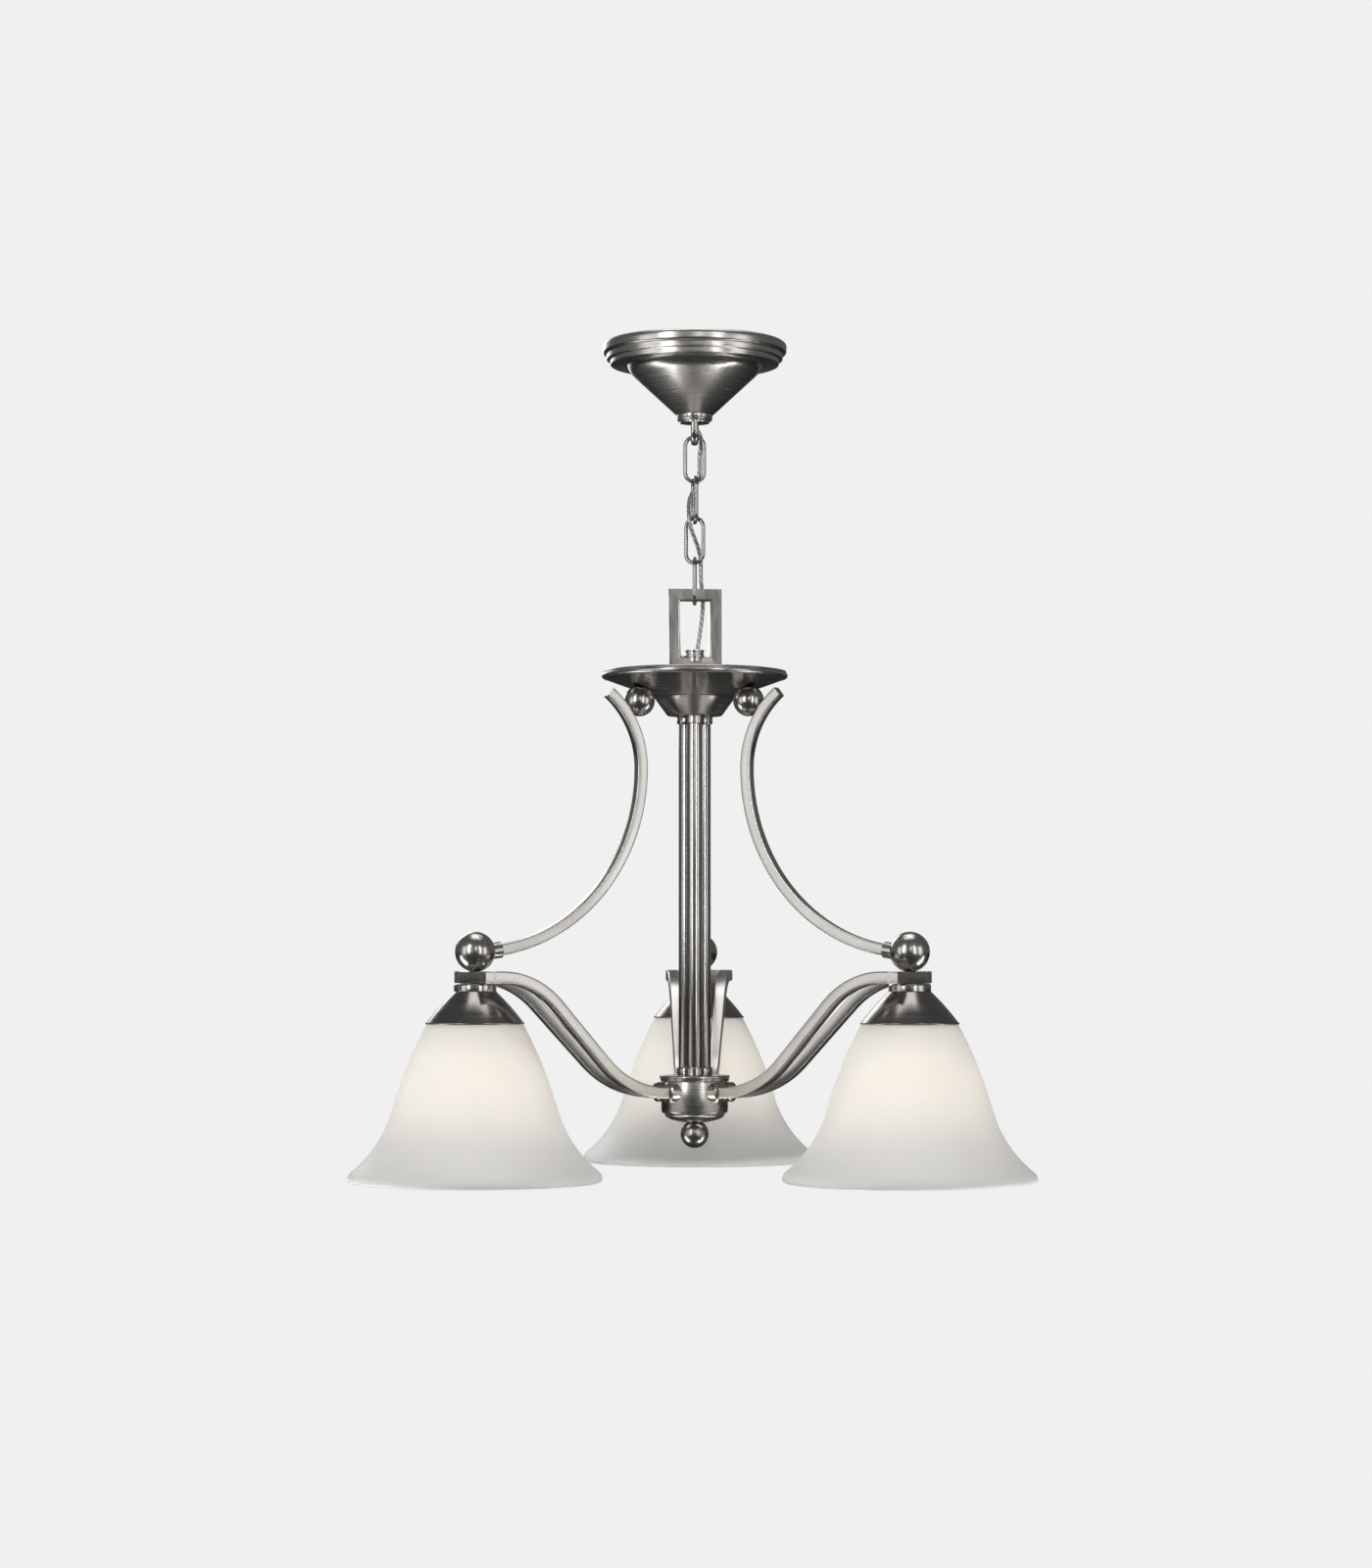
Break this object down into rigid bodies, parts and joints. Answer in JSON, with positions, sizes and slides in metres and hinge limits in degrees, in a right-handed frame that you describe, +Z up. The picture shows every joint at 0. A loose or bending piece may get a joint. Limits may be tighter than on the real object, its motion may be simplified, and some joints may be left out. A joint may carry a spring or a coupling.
{
  "type": "hanging chandelier",
  "caption": "Chain-hung chandelier: a stepped ceiling canopy, a column of round tubes under a dish, curved square-bar arms, balls and bell-shaped frosted glass shades that open downwards.",
  "frame": {"origin": "centre of the ceiling bracket's top face, where it meets the ceiling", "axes": "+Z up along the column's axis, +X to the right and -Y towards the viewer when the rear arm points away"},
  "size_m": [0.544, 0.4982, 0.6872],
  "materials": {
    "nickel": "satin",
    "chain": "satin",
    "plated_steel": "satin",
    "green_screw": "satin",
    "connector": "matte",
    "lead": "satin",
    "cord": "gloss",
    "phenolic": "satin",
    "frosted_glass": "satin",
    "bulb_glass": "satin"
  },
  "bodies": {
    "mounting": {"ceiling_bracket": "plated_steel", "threaded_stem": "plated_steel", "stem_nuts": "plated_steel", "ground_screw": "green_screw", "canopy_loop": "nickel", "wire_connectors": "connector", "canopy_leads": "lead"},
    "canopy": {"canopy": "nickel"},
    "ring_nut": {"canopy_ring_nut": "nickel"},
    "chain_1": {"link_1": "chain", "cord_1": "cord"},
    "chain_2": {"link_2": "chain", "cord_2": "cord"},
    "chain_3": {"link_3": "chain", "cord_3": "cord"},
    "chain_4": {"link_4": "chain", "cord_4": "cord"},
    "fixture": {"cord_5": "cord", "hang_loop": "nickel", "cord_bushing": "nickel", "top_dish": "nickel", "dish_cover": "nickel", "column_tube_1": "nickel", "column_tube_2": "nickel", "column_tube_3": "nickel", "column_collar_top": "nickel", "column_collar_bottom": "nickel", "tie_rods": "plated_steel", "rod_nuts": "plated_steel", "hub_cup": "nickel", "hub_lid": "nickel", "hub_cap": "nickel", "finial_ball": "nickel", "arm_bosses": "nickel", "arm_1": "nickel", "arm_2": "nickel", "arm_3": "nickel", "upper_strap_1": "nickel", "upper_strap_2": "nickel", "upper_strap_3": "nickel", "strap_plugs": "nickel", "upper_balls": "nickel", "strap_ferrules": "nickel", "arm_balls": "nickel", "fitter_rings": "nickel", "shade_cap_1": "nickel", "shade_cap_2": "nickel", "shade_cap_3": "nickel", "fitter_stems": "plated_steel", "sockets": "phenolic", "shade_rings": "phenolic", "arm_leads": "lead", "shade_1": "frosted_glass", "shade_2": "frosted_glass", "shade_3": "frosted_glass"},
    "lamp_1": {"bulb_1": "bulb_glass"},
    "lamp_2": {"bulb_2": "bulb_glass"},
    "lamp_3": {"bulb_3": "bulb_glass"}
  },
  "joints": [
    {"name": "link_1_swing", "type": "hinge", "parent": "mounting", "child": "chain_1", "pos_m": [0, 0, -0.0782], "axis": [0, 1, 0], "range_deg": [-12, 12], "deforming": ["cord_1"]},
    {"name": "link_2_swing", "type": "hinge", "parent": "chain_1", "child": "chain_2", "pos_m": [0, 0, -0.1113], "axis": [1, 0, 0], "range_deg": [-12, 12], "deforming": ["cord_2"]},
    {"name": "link_3_swing", "type": "hinge", "parent": "chain_2", "child": "chain_3", "pos_m": [0, 0, -0.1444], "axis": [0, 1, 0], "range_deg": [-12, 12], "deforming": ["cord_3"]},
    {"name": "link_4_swing", "type": "hinge", "parent": "chain_3", "child": "chain_4", "pos_m": [0, 0, -0.1775], "axis": [1, 0, 0], "range_deg": [-12, 12], "deforming": ["cord_4"]},
    {"name": "fixture_swing", "type": "hinge", "parent": "chain_4", "child": "fixture", "pos_m": [0, 0, -0.2106], "axis": [0, 1, 0], "range_deg": [-12, 12], "deforming": ["cord_5"]},
    {"name": "canopy_drop", "type": "slide", "parent": "mounting", "child": "canopy", "axis": [0, 0, -1], "range_m": [0, 0.006]},
    {"name": "ring_nut_turn", "type": "hinge", "parent": "canopy", "child": "ring_nut", "pos_m": [0, 0, -0.0586], "axis": [0, 0, -1], "range_deg": [0, 1440]},
    {"name": "bulb_1_turn", "type": "hinge", "parent": "fixture", "child": "lamp_1", "pos_m": [0, 0.198, -0.55213], "axis": [0, 0, -1], "range_deg": [0, 1080]},
    {"name": "bulb_2_turn", "type": "hinge", "parent": "fixture", "child": "lamp_2", "pos_m": [0.17147, -0.099, -0.55213], "axis": [0, 0, -1], "range_deg": [0, 1080]},
    {"name": "bulb_3_turn", "type": "hinge", "parent": "fixture", "child": "lamp_3", "pos_m": [-0.17147, -0.099, -0.55213], "axis": [0, 0, -1], "range_deg": [0, 1080]}
  ],
  "couplings": [
    {"joint": "ring_nut_turn", "follows": "canopy_drop", "rad_per_m": 4188.8}
  ]
}
